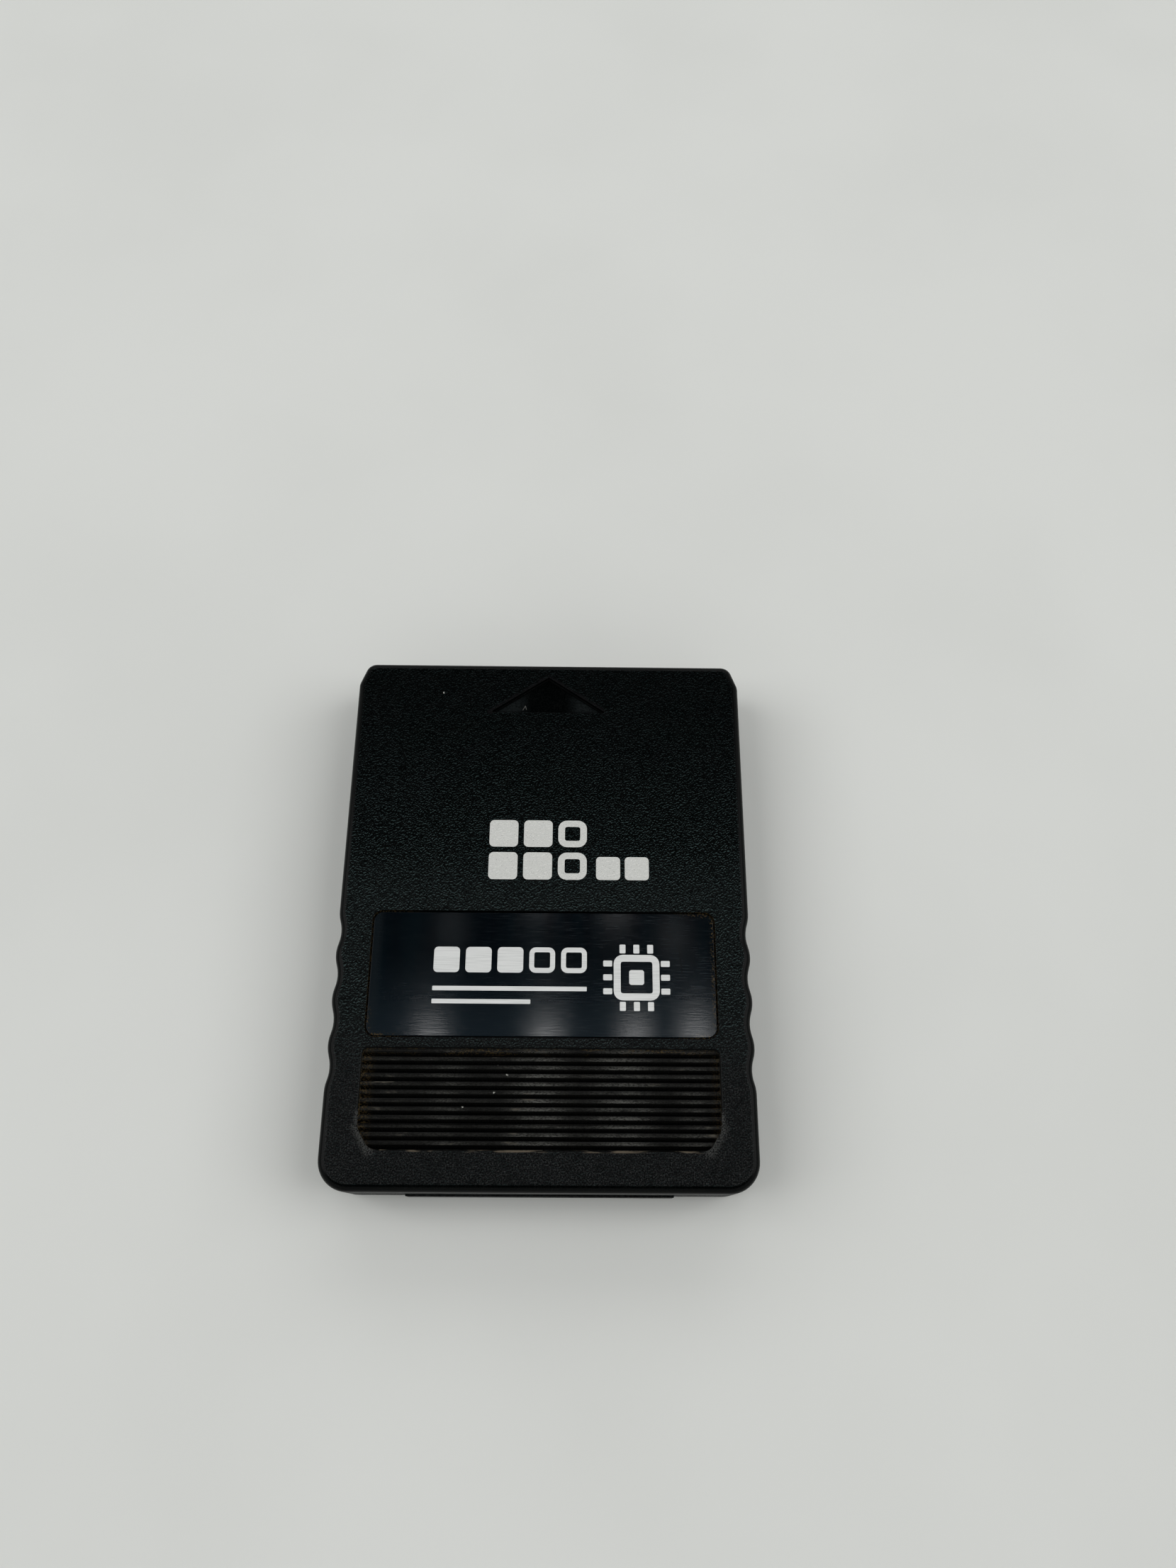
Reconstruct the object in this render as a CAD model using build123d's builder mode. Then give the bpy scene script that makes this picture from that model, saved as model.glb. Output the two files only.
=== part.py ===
from build123d import *

import os

os.makedirs("parts", exist_ok=True)

# The card lies flat with its label up, and its contacts point towards +Y.
card_width = 42.0
card_length = 55.8
card_height = 8.0
parting_height = 4.0
edge_radius = 0.85
underside_chamfer = 0.6
seam_chamfer = 0.12

# Plan outline: bevelled corners at the insertion end, round corners at the rear.
bevel_along_side = 2.5
bevel_along_end = 0.95
bevel_softening = 0.4
rear_corner_radius = 3.0

# Finger scallops down both sides, placed from the rear end.
scallop_count = 4
scallop_pitch = 4.52
scallop_depth = 0.35
scallop_from_rear = 11.35

# Thin lip on the lower shell, along the rear edge.
lip_width = 26.0
lip_reach = 0.2
lip_rise = 0.8

# Shell walls.
side_wall = 1.6
rear_wall = 1.6
far_wall = 1.2
floor_thickness = 1.2
roof_thickness = 1.2
cavity_corner_cut = 1.0

# Arrow sunk in the top, pointing the way the card goes in.
arrow_from_end = 1.7
arrow_length = 4.3
arrow_width = 12.7
arrow_tip_radius = 0.1
arrow_depth = 0.5

# Ribbed thumb panel: a shallow recess with V-grooves between flat-topped ribs.
rib_count = 12
rib_pitch = 0.785
groove_width = 0.44
groove_depth = 0.36
panel_from_rear = 3.83
panel_side_margin = 3.6
panel_depth = 0.3
panel_far_radius = 0.6
panel_cut_side = 2.0
panel_cut_end = 1.2
panel_cut_radius = 1.2
panel_rim_chamfer = 0.14

# Label film and the seat it lies in.
panel_to_label = 1.08
label_side_margin = 3.58
label_seat_length = 12.8
label_seat_radius = 1.1
label_seat_depth = 0.45
label_thickness = 0.3
label_gap = 0.15

# Contacts, counted from the -X side, in three bays divided by two walls.
first_bay_count = 3
middle_bay_count = 3
last_bay_count = 2
contact_pitch = 3.8
contact_width = 2.0
contact_thickness = 0.2
contact_proud = 0.1
contact_tip_setback = 1.4
contact_tip_cut = 0.45
tail_width = 1.2
tail_length = 2.4

# Socket that the contacts lie in, and the block that closes its back.
socket_depth = 9.0
socket_margin = 0.6
cheek_wall = 1.2
block_wall = 1.6
block_fit = 0.1
shelf_setback = 0.6
shelf_lead_in = 0.4
divider_wall = 0.9
divider_setback = 1.2
divider_nose = 0.3

# Skirt inside the upper shell that centres the two shells, with snap beads.
skirt_gap = 0.1
skirt_wall = 0.8
skirt_depth = 1.4
skirt_root = 0.8
thrust_wall = 1.0
bead_reach = 0.3
bead_length = 6.0
bead_fit = 0.08
bead_spacing = 22.0

# Circuit board on four pads, two of them with pins that press into posts above.
board_thickness = 0.8
board_edge_gap = 0.2
board_corner_cut = 1.0
standoff_height = 0.4
standoff_diameter = 3.4
pad_side = 3.0
pin_diameter = 1.6
pin_hole_fit = 0.1
pin_post_fit = 0.05
pin_engagement = 1.6
pin_end_gap = 0.2
hold_down_gap = 0.1
pin_inset_side = 3.0
pin_inset_far = 7.6
pin_inset_rear = 3.0

# Memory chip in a thin two-row package, and controller in a four-row package.
chip_standoff = 0.1
lead_thickness = 0.15
memory_length = 18.4
memory_width = 12.0
memory_height = 1.0
memory_leads = 24
memory_lead_pitch = 0.5
memory_lead_width = 0.22
memory_lead_reach = 0.8
controller_side = 10.0
controller_height = 1.4
controller_leads = 11
controller_lead_pitch = 0.8
controller_lead_width = 0.35
controller_lead_reach = 1.6
controller_off_centre = 2.5
chip_spacing = 1.2
chip_edge_chamfer = 0.15

# Crystal, capacitors and resistors on the board.
crystal_length = 5.0
crystal_width = 3.2
crystal_base_height = 0.5
crystal_lid_height = 0.5
crystal_lid_step = 0.3
crystal_off_centre = 9.5
capacitor_length = 2.0
capacitor_width = 1.25
capacitor_height = 0.9
capacitor_off_centre = 11.9
capacitor_spacing = 5.0
resistor_length = 1.6
resistor_width = 0.8
resistor_height = 0.45
resistor_spacing = 0.6
terminal_length = 0.4
terminal_step = 0.06

# Faces and levels that follow from the sizes above.
half_width = card_width / 2
far_end = card_length / 2
rear_end = lip_reach - card_length / 2
roof_underside = card_height - roof_thickness
bevel_radius = edge_radius + bevel_softening
scallop_end = rear_end + scallop_from_rear - scallop_pitch / 2
scallop_start = scallop_end + scallop_count * scallop_pitch
cavity_half = half_width - side_wall
cavity_rear = rear_end + rear_wall
cavity_far = far_end - far_wall
cavity_mid = (cavity_far + cavity_rear) / 2

contact_count = first_bay_count + middle_bay_count + last_bay_count
contact_places = [(i - (contact_count - 1) / 2) * contact_pitch for i in range(contact_count)]
socket_half = contact_count * contact_pitch / 2 + socket_margin
socket_back = far_end - socket_depth
contact_tip = far_end - contact_tip_setback
block_rear = socket_back - block_wall
block_top = roof_underside - block_fit
wing_half = cavity_half - 2 * block_fit
first_divider = (first_bay_count - contact_count / 2) * contact_pitch
second_divider = (contact_count / 2 - last_bay_count) * contact_pitch
divider_places = [first_divider, second_divider]
divider_front = far_end - divider_setback
shelf_front = far_end - shelf_setback

skirt_outer = cavity_half - skirt_gap
skirt_inner = skirt_outer - skirt_wall
skirt_rear = cavity_rear + skirt_gap
thrust_front = block_rear - block_fit
thrust_rear = thrust_front - thrust_wall
skirt_front = thrust_rear - 2 * block_fit
skirt_middle = (skirt_front + skirt_rear) / 2
bead_height = parting_height - skirt_depth / 2
bead_planes = [
    Plane.XZ.offset(-skirt_middle - bead_spacing / 2),
    Plane.XZ.offset(-skirt_middle + bead_spacing / 2),
]

board_bottom = floor_thickness + standoff_height
board_top = board_bottom + board_thickness
board_half = skirt_inner - board_edge_gap
board_far = block_rear - block_fit
board_rear = skirt_rear + skirt_wall + board_edge_gap
board_middle = (board_far + board_rear) / 2
post_end = board_top + hold_down_gap
pin_x = board_half - pin_inset_side
pin_y_rear = board_rear + pin_inset_rear
pin_y_far = board_far - pin_inset_far
pin_places = [(-pin_x, pin_y_far), (pin_x, pin_y_rear)]
pad_places = [(pin_x, pin_y_far), (-pin_x, pin_y_rear)]
shelf_top = board_top + contact_thickness - contact_proud

panel_rear = rear_end + panel_from_rear
panel_far = panel_rear + rib_count * rib_pitch
panel_half = half_width - panel_side_margin
panel_floor = card_height - panel_depth
label_rear = panel_far + panel_to_label
label_middle = label_rear + label_seat_length / 2
label_seat_width = card_width - 2 * label_side_margin
label_floor = card_height - label_seat_depth
arrow_tip = far_end - arrow_from_end

resistor_y = board_far - tail_length - resistor_spacing - resistor_length / 2
controller_half = controller_side / 2 + controller_lead_reach
controller_y = resistor_y - resistor_length / 2 - resistor_spacing - controller_half
memory_y = controller_y - controller_half - chip_spacing - memory_width / 2

# Outline of the card seen from above, shared by both shells.
with BuildSketch() as card_outline:
    with BuildLine():
        FilletPolyline(
            (0, far_end),
            (half_width - bevel_along_end, far_end),
            (half_width, far_end - bevel_along_side),
            (half_width, scallop_start),
            radius=bevel_radius,
        )
        TangentArc(
            (half_width, scallop_start),
            (half_width - scallop_depth / 2, scallop_start - scallop_pitch / 4),
            tangent=(0, -1),
        )
        for i in range(scallop_count):
            valley = scallop_start - (i + 0.5) * scallop_pitch
            ThreePointArc(
                (half_width - scallop_depth / 2, valley + scallop_pitch / 4),
                (half_width - scallop_depth, valley),
                (half_width - scallop_depth / 2, valley - scallop_pitch / 4),
            )
        for i in range(1, scallop_count):
            crest = scallop_start - i * scallop_pitch
            ThreePointArc(
                (half_width - scallop_depth / 2, crest + scallop_pitch / 4),
                (half_width, crest),
                (half_width - scallop_depth / 2, crest - scallop_pitch / 4),
            )
        TangentArc(
            (half_width, scallop_end),
            (half_width - scallop_depth / 2, scallop_end + scallop_pitch / 4),
            tangent=(0, 1),
        )
        FilletPolyline(
            (half_width, scallop_end),
            (half_width, rear_end),
            (0, rear_end),
            radius=rear_corner_radius,
        )
        mirror(about=Plane.YZ)
    make_face()

# Inside of both shells: the socket's cheeks and the thrust ribs behind the contact block stay.
with BuildSketch() as cavity_plan:
    with Locations((0, cavity_mid)):
        Rectangle(2 * cavity_half, cavity_far - cavity_rear)
    chamfer(cavity_plan.vertices(), cavity_corner_cut)
    with Locations(
        (socket_half + cheek_wall / 2, cavity_far),
        (-socket_half - cheek_wall / 2, cavity_far),
    ):
        Rectangle(
            cheek_wall,
            cavity_far - socket_back - block_fit,
            align=(Align.CENTER, Align.MAX),
            mode=Mode.SUBTRACT,
        )
    with Locations((cavity_half, thrust_front), (-cavity_half, thrust_front)):
        Rectangle(
            2 * (cavity_half - skirt_inner),
            thrust_wall,
            align=(Align.CENTER, Align.MAX),
            mode=Mode.SUBTRACT,
        )

# Lower shell: a tray with pads and pins for the board, grooves for the snap beads and the rear lip.
with BuildPart() as lower_shell:
    with BuildSketch():
        add(card_outline.sketch)
    extrude(amount=parting_height)
    chamfer(lower_shell.faces().sort_by(Axis.Z)[0].edges(), underside_chamfer)
    chamfer(lower_shell.faces().sort_by(Axis.Z)[-1].edges(), seam_chamfer)
    with BuildSketch(Plane.XY.offset(floor_thickness)):
        add(cavity_plan.sketch)
    extrude(amount=parting_height - floor_thickness, mode=Mode.SUBTRACT)
    with BuildSketch(Plane.XY.offset(floor_thickness)):
        with Locations((0, far_end)):
            Rectangle(2 * socket_half, 2 * far_wall)
    extrude(amount=parting_height - floor_thickness, mode=Mode.SUBTRACT)
    with BuildSketch(Plane.XY.offset(floor_thickness)):
        with Locations(*pin_places):
            Circle(standoff_diameter / 2)
        with Locations(*pad_places):
            Rectangle(pad_side, pad_side)
    extrude(amount=standoff_height)
    with BuildSketch(Plane.XY.offset(board_bottom)):
        with Locations(*pin_places):
            Circle(pin_diameter / 2)
    extrude(amount=post_end + pin_engagement - board_bottom)
    with BuildSketch(*bead_planes):
        with BuildLine():
            Polyline(
                (skirt_outer, bead_height + bead_reach + 2 * bead_fit),
                (skirt_outer + bead_reach + bead_fit, bead_height),
                (skirt_outer, bead_height - bead_reach - 2 * bead_fit),
                close=True,
            )
        make_face()
        mirror(about=Plane.YZ)
    extrude(amount=bead_length / 2 + bead_fit, both=True, mode=Mode.SUBTRACT)
    with BuildSketch(Plane.XZ.offset(-rear_end)):
        with Locations((0, underside_chamfer + lip_rise)):
            Rectangle(
                lip_width,
                parting_height - seam_chamfer - underside_chamfer - lip_rise,
                align=(Align.CENTER, Align.MIN),
            )
    extrude(amount=lip_reach)

lower_shell.part.label = "lower_shell"
export_step(lower_shell.part, "parts/lower_shell.step")

# Grooves of the thumb panel, cut to the panel's own outline.
with BuildSketch() as panel_outline:
    with BuildLine():
        FilletPolyline(
            (0, panel_far),
            (panel_half, panel_far),
            (panel_half, panel_rear + panel_cut_side),
            (panel_half - panel_cut_end, panel_rear),
            (0, panel_rear),
            radius=[panel_far_radius, panel_cut_radius, panel_cut_radius],
        )
        mirror(about=Plane.YZ)
    make_face()

with BuildPart() as panel_grooves:
    with BuildSketch(Plane.YZ):
        for i in range(rib_count):
            groove_rear = panel_rear + i * rib_pitch
            with BuildLine():
                Polyline(
                    (groove_rear, panel_floor),
                    (groove_rear + groove_width, panel_floor),
                    (groove_rear + groove_width / 2, panel_floor - groove_depth),
                    close=True,
                )
            make_face()
    extrude(amount=panel_half, both=True)
    with BuildSketch(Plane.XY.offset(panel_floor)):
        add(panel_outline.sketch)
    extrude(amount=-groove_depth, mode=Mode.INTERSECT)

# Upper shell: a lid with sunk arrow, label seat and thumb panel, posts for the pins and the skirt.
with BuildPart() as upper_shell:
    with BuildSketch(Plane.XY.offset(parting_height)):
        add(card_outline.sketch)
    extrude(amount=card_height - parting_height)
    fillet(upper_shell.faces().sort_by(Axis.Z)[-1].edges(), edge_radius)
    with BuildSketch(Plane.XY.offset(parting_height)):
        add(cavity_plan.sketch)
    extrude(amount=roof_underside - parting_height, mode=Mode.SUBTRACT)
    with BuildSketch(Plane.XY.offset(parting_height)):
        with Locations((0, far_end)):
            Rectangle(2 * socket_half, 2 * far_wall)
    extrude(amount=roof_underside - parting_height, mode=Mode.SUBTRACT)
    with BuildSketch(Plane.XY.offset(card_height)):
        add(panel_outline.sketch)
    extrude(amount=-panel_depth, mode=Mode.SUBTRACT)
    panel_rim = upper_shell.faces().sort_by(Axis.Z)[-1].inner_wires()[0]
    chamfer(panel_rim.edges(), panel_rim_chamfer)
    add(panel_grooves.part, mode=Mode.SUBTRACT)
    with BuildSketch(Plane.XY.offset(card_height)):
        with Locations((0, label_middle)):
            RectangleRounded(label_seat_width, label_seat_length, label_seat_radius)
    extrude(amount=-label_seat_depth, mode=Mode.SUBTRACT)
    with BuildSketch(Plane.XY.offset(card_height)) as arrow:
        with BuildLine():
            Polyline(
                (0, arrow_tip),
                (arrow_width / 2, arrow_tip - arrow_length),
                (-arrow_width / 2, arrow_tip - arrow_length),
                close=True,
            )
        make_face()
        fillet(arrow.vertices(), arrow_tip_radius)
    extrude(amount=-arrow_depth, mode=Mode.SUBTRACT)
    with BuildSketch(Plane.XY.offset(roof_underside)):
        with Locations(*pin_places):
            Circle(standoff_diameter / 2)
    extrude(amount=post_end - roof_underside)
    with BuildSketch(Plane.XY.offset(post_end)):
        with Locations(*pin_places):
            Circle(pin_diameter / 2 + pin_post_fit)
    extrude(amount=pin_engagement + pin_end_gap, mode=Mode.SUBTRACT)
    with BuildSketch(Plane.XY.offset(parting_height)):
        with BuildLine():
            Polyline(
                (0, cavity_rear),
                (cavity_half, cavity_rear),
                (cavity_half, skirt_front),
                (skirt_inner, skirt_front),
                (skirt_inner, skirt_rear + skirt_wall + cavity_corner_cut),
                (skirt_inner - cavity_corner_cut, skirt_rear + skirt_wall),
                (0, skirt_rear + skirt_wall),
            )
            mirror(about=Plane.YZ)
        make_face()
    extrude(amount=skirt_root)
    with BuildSketch(Plane.XY.offset(parting_height)):
        with BuildLine():
            Polyline(
                (0, skirt_rear),
                (skirt_outer - cavity_corner_cut, skirt_rear),
                (skirt_outer, skirt_rear + cavity_corner_cut),
                (skirt_outer, skirt_front),
                (skirt_inner, skirt_front),
                (skirt_inner, skirt_rear + skirt_wall + cavity_corner_cut),
                (skirt_inner - cavity_corner_cut, skirt_rear + skirt_wall),
                (0, skirt_rear + skirt_wall),
            )
            mirror(about=Plane.YZ)
        make_face()
    extrude(amount=-skirt_depth)
    with BuildSketch(*bead_planes):
        with BuildLine():
            Polyline(
                (skirt_outer, bead_height + bead_reach),
                (skirt_outer + bead_reach, bead_height),
                (skirt_outer, bead_height - bead_reach),
                close=True,
            )
        make_face()
        mirror(about=Plane.YZ)
    extrude(amount=bead_length / 2, both=True)

upper_shell.part.label = "upper_shell"
export_step(upper_shell.part, "parts/upper_shell.step")

# Label film, loose in its seat by a thin gap all round.
with BuildPart() as front_label:
    with BuildSketch(Plane.XY.offset(label_floor)):
        with Locations((0, label_middle)):
            RectangleRounded(
                label_seat_width - 2 * label_gap,
                label_seat_length - 2 * label_gap,
                label_seat_radius - label_gap,
            )
    extrude(amount=label_thickness)

front_label.part.label = "front_label"
export_step(front_label.part, "parts/front_label.step")

# One contact from above: a broad blade with a tapered tip, and a narrow tail for the board.
with BuildSketch() as contact_plan:
    with Locations((0, socket_back)):
        Rectangle(contact_width, contact_tip - socket_back, align=(Align.CENTER, Align.MIN))
    chamfer(contact_plan.vertices().group_by(Axis.Y)[-1], contact_tip_cut)
    with Locations((0, socket_back)):
        Rectangle(tail_width, socket_back - board_far + tail_length, align=(Align.CENTER, Align.MAX))

for number, place in enumerate(contact_places, start=1):
    with BuildPart() as contact:
        with BuildSketch(Plane((place, 0, board_top))):
            add(contact_plan.sketch)
        extrude(amount=contact_thickness)
    contact.part.label = f"contact_{number}"
    export_step(contact.part, f"parts/contact_{number}.step")

# Contact block: back wall with wings, dividers between the bays and a shelf grooved for the contacts.
with BuildPart() as contact_block:
    with BuildSketch(Plane.XY.offset(floor_thickness)):
        with Locations((0, socket_back)):
            Rectangle(2 * wing_half, block_wall, align=(Align.CENTER, Align.MAX))
        with Locations(*[(place, socket_back) for place in divider_places]):
            Rectangle(divider_wall, divider_front - socket_back, align=(Align.CENTER, Align.MIN))
    extrude(amount=block_top - floor_thickness)
    noses = contact_block.edges().filter_by(Axis.Z).group_by(Axis.Y)[-1]
    chamfer(noses, divider_nose)
    with BuildSketch(Plane.XY.offset(floor_thickness)):
        with Locations((0, socket_back)):
            Rectangle(
                2 * (socket_half - block_fit),
                shelf_front - socket_back,
                align=(Align.CENTER, Align.MIN),
            )
    extrude(amount=shelf_top - floor_thickness)
    front_edges = contact_block.edges().filter_by(Axis.X).group_by(Axis.Y)[-1]
    chamfer(front_edges.sort_by(Axis.Z)[-1], shelf_lead_in)
    with BuildSketch(Plane.XY.offset(board_top)):
        with Locations(*[(place, 0) for place in contact_places]):
            add(contact_plan.sketch)
    extrude(amount=contact_thickness, mode=Mode.SUBTRACT)

contact_block.part.label = "contact_block"
export_step(contact_block.part, "parts/contact_block.step")

# Circuit board with cut corners and two holes for the pins.
with BuildPart() as circuit_board:
    with BuildSketch(Plane.XY.offset(board_bottom)):
        with Locations((0, board_middle)):
            outline = Rectangle(2 * board_half, board_far - board_rear)
        chamfer(outline.vertices(), board_corner_cut)
        with Locations(*pin_places):
            Circle(pin_diameter / 2 + pin_hole_fit, mode=Mode.SUBTRACT)
    extrude(amount=board_thickness)

circuit_board.part.label = "circuit_board"
export_step(circuit_board.part, "parts/circuit_board.step")

# Memory chip: flat moulded body with chamfered top edges, long side across the card.
with BuildPart() as memory_chip:
    with BuildSketch(Plane((0, memory_y, board_top + chip_standoff))):
        Rectangle(memory_length, memory_width)
    extrude(amount=memory_height)
    chamfer(memory_chip.faces().sort_by(Axis.Z)[-1].edges(), chip_edge_chamfer)

memory_chip.part.label = "memory_chip"
export_step(memory_chip.part, "parts/memory_chip.step")

# Its leads: gull wings from half the body's height down to the board, in one row at each end.
memory_arm = chip_standoff + memory_height / 2 + lead_thickness / 2
memory_knee = memory_length / 2 + memory_lead_reach / 2
memory_foot = memory_length / 2 + memory_lead_reach
memory_lead_planes = [
    Plane((0, memory_y + (i - (memory_leads - 1) / 2) * memory_lead_pitch, board_top), (1, 0, 0), (0, -1, 0))
    for i in range(memory_leads)
]
with BuildPart() as memory_chip_leads:
    with BuildSketch(*memory_lead_planes):
        with BuildLine():
            Polyline(
                (memory_length / 2, memory_arm),
                (memory_knee, memory_arm),
                (memory_foot, lead_thickness),
                (memory_foot, 0),
                (memory_knee, 0),
                (memory_length / 2, memory_arm - lead_thickness),
                close=True,
            )
        make_face()
        mirror(about=Plane.YZ)
    extrude(amount=memory_lead_width / 2, both=True)

memory_chip_leads.part.label = "memory_chip_leads"
export_step(memory_chip_leads.part, "parts/memory_chip_leads.step")

# Controller chip: square moulded body.
with BuildPart() as controller_chip:
    with BuildSketch(Plane((-controller_off_centre, controller_y, board_top + chip_standoff))):
        Rectangle(controller_side, controller_side)
    extrude(amount=controller_height)
    chamfer(controller_chip.faces().sort_by(Axis.Z)[-1].edges(), chip_edge_chamfer)

controller_chip.part.label = "controller_chip"
export_step(controller_chip.part, "parts/controller_chip.step")

# Its leads: the same gull wing in a row on all four sides.
controller_arm = chip_standoff + controller_height / 2 + lead_thickness / 2
controller_knee = controller_side / 2 + controller_lead_reach / 2
controller_foot = controller_side / 2 + controller_lead_reach
controller_steps = [(i - (controller_leads - 1) / 2) * controller_lead_pitch for i in range(controller_leads)]
controller_lead_planes = [
    Plane((-controller_off_centre, controller_y + step, board_top), (1, 0, 0), (0, -1, 0))
    for step in controller_steps
] + [
    Plane((step - controller_off_centre, controller_y, board_top), (0, 1, 0), (1, 0, 0))
    for step in controller_steps
]
with BuildPart() as controller_chip_leads:
    with BuildSketch(*controller_lead_planes):
        with BuildLine():
            Polyline(
                (controller_side / 2, controller_arm),
                (controller_knee, controller_arm),
                (controller_foot, lead_thickness),
                (controller_foot, 0),
                (controller_knee, 0),
                (controller_side / 2, controller_arm - lead_thickness),
                close=True,
            )
        make_face()
        mirror(about=Plane.YZ)
    extrude(amount=controller_lead_width / 2, both=True)

controller_chip_leads.part.label = "controller_chip_leads"
export_step(controller_chip_leads.part, "parts/controller_chip_leads.step")

# Crystal beside the controller: a ceramic base with a stepped metal lid.
crystal_y = controller_y
with BuildPart() as crystal:
    with BuildSketch(Plane((crystal_off_centre, crystal_y, board_top))):
        Rectangle(crystal_width, crystal_length)
    extrude(amount=crystal_base_height)
    with BuildSketch(Plane((crystal_off_centre, crystal_y, board_top + crystal_base_height))):
        Rectangle(crystal_width - 2 * crystal_lid_step, crystal_length - 2 * crystal_lid_step)
    extrude(amount=crystal_lid_height)

crystal.part.label = "crystal"
export_step(crystal.part, "parts/crystal.step")

# Ceramic capacitors, two on each side of the memory chip, with end terminals a little proud.
capacitor_places = [
    (x, memory_y + y)
    for x in (-capacitor_off_centre, capacitor_off_centre)
    for y in (-capacitor_spacing / 2, capacitor_spacing / 2)
]
for number, (x, y) in enumerate(capacitor_places, start=1):
    with BuildPart() as capacitor:
        with BuildSketch(Plane((x, y, board_top), (0, 1, 0), (1, 0, 0))):
            Rectangle(capacitor_length, capacitor_height, align=(Align.CENTER, Align.MIN))
            with Locations((0, capacitor_height), (0, 0)):
                Rectangle(
                    capacitor_length - 2 * terminal_length,
                    2 * terminal_step,
                    mode=Mode.SUBTRACT,
                )
        extrude(amount=capacitor_width / 2, both=True)
    capacitor.part.label = f"capacitor_{number}"
    export_step(capacitor.part, f"parts/capacitor_{number}.step")

# Chip resistors behind the five signal contacts: three in the first bay and two in the narrow one.
signal_contacts = contact_places[:first_bay_count] + contact_places[-last_bay_count:]
for number, place in enumerate(signal_contacts, start=1):
    with BuildPart() as resistor:
        with BuildSketch(Plane((place, resistor_y, board_top), (0, 1, 0), (1, 0, 0))):
            Rectangle(resistor_length, resistor_height, align=(Align.CENTER, Align.MIN))
            with Locations((0, resistor_height), (0, 0)):
                Rectangle(
                    resistor_length - 2 * terminal_length,
                    2 * terminal_step,
                    mode=Mode.SUBTRACT,
                )
        extrude(amount=resistor_width / 2, both=True)
    resistor.part.label = f"resistor_{number}"
    export_step(resistor.part, f"parts/resistor_{number}.step")
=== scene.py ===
import math

import bpy
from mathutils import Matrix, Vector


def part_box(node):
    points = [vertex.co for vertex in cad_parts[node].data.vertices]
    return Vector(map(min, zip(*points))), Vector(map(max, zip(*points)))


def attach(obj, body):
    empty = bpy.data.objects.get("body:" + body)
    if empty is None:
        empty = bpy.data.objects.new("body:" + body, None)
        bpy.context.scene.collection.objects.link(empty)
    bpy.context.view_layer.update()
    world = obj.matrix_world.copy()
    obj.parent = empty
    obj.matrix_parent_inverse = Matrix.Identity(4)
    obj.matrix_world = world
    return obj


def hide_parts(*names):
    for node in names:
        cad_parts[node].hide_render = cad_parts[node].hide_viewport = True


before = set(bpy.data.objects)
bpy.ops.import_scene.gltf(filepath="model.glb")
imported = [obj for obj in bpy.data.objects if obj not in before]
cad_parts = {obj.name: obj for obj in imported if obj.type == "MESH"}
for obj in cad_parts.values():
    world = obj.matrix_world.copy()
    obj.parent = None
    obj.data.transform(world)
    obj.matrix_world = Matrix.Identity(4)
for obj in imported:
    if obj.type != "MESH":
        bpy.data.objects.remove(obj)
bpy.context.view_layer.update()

# Lower shell: the tray of the card, moulded in black plastic with a fine leather grain.
# The board stands on its pads and pins, and the upper shell snaps into its side walls.


def finish_node(tree, kind, inputs=None, **settings):
    """Adds one node of a finish. An input is a plain value or the output that feeds it."""
    made = tree.nodes.new("ShaderNode" + kind)
    for setting, value in settings.items():
        setattr(made, setting, value)
    for socket, value in (inputs or {}).items():
        if isinstance(value, bpy.types.NodeSocket):
            tree.links.new(value, made.inputs[socket])
        else:
            made.inputs[socket].default_value = value
    return made


def maths(tree, operation, first, second=0.0):
    """A value worked out from one or two others."""
    return finish_node(tree, "Math", {0: first, 1: second}, operation=operation).outputs[0]


def product(tree, first, *others):
    """Masks and shares multiplied together, so it is 0 where any of them is 0."""
    for other in others:
        first = maths(tree, "MULTIPLY", first, other)
    return first


def clouds(tree, place, scale, detail, stretch=None):
    """Soft noise over a piece. The scale and the stretch of each axis make its lumps finer."""
    if stretch:
        place = finish_node(tree, "Mapping", {"Vector": place, "Scale": stretch}).outputs[0]
    return finish_node(tree, "TexNoise", {"Vector": place, "Scale": scale, "Detail": detail}).outputs[0]


def fade(tree, value, start, end):
    """0 where the value is at start, 1 where it is at end, and smooth between."""
    inputs = {"Value": value, "From Min": start, "From Max": end}
    return finish_node(tree, "MapRange", inputs, interpolation_type="SMOOTHSTEP").outputs[0]


def tint(tree, mask, under, over):
    """The under colour, with the over colour laid on it where the mask is 1."""
    made = finish_node(tree, "Mix", {0: mask}, data_type="RGBA")
    for socket, colour in ((6, under), (7, over)):
        if isinstance(colour, bpy.types.NodeSocket):
            tree.links.new(colour, made.inputs[socket])
        else:
            made.inputs[socket].default_value = (*colour, 1)
    return made.outputs[2]


def new_finish(name):
    """A material, its shader, and its place on the card in millimetres: whole, then x, y and z."""
    material = bpy.data.materials.new(name)
    material.use_nodes = True
    tree = material.node_tree
    shader = tree.nodes["Principled BSDF"]
    place = finish_node(tree, "TexCoord").outputs["Object"]
    place = finish_node(tree, "Mapping", {"Vector": place, "Scale": (1000, 1000, 1000)}).outputs[0]
    axes = finish_node(tree, "SeparateXYZ", {0: place}).outputs
    return material, tree, shader, place, axes


def put(group, tree, **inputs):
    """Places a shared effect in a finish, with its own values."""
    made = tree.nodes.new("ShaderNodeGroup")
    made.node_tree = group
    for socket, value in inputs.items():
        if isinstance(value, bpy.types.NodeSocket):
            tree.links.new(value, made.inputs[socket])
        else:
            made.inputs[socket].default_value = value
    return made.outputs


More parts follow.
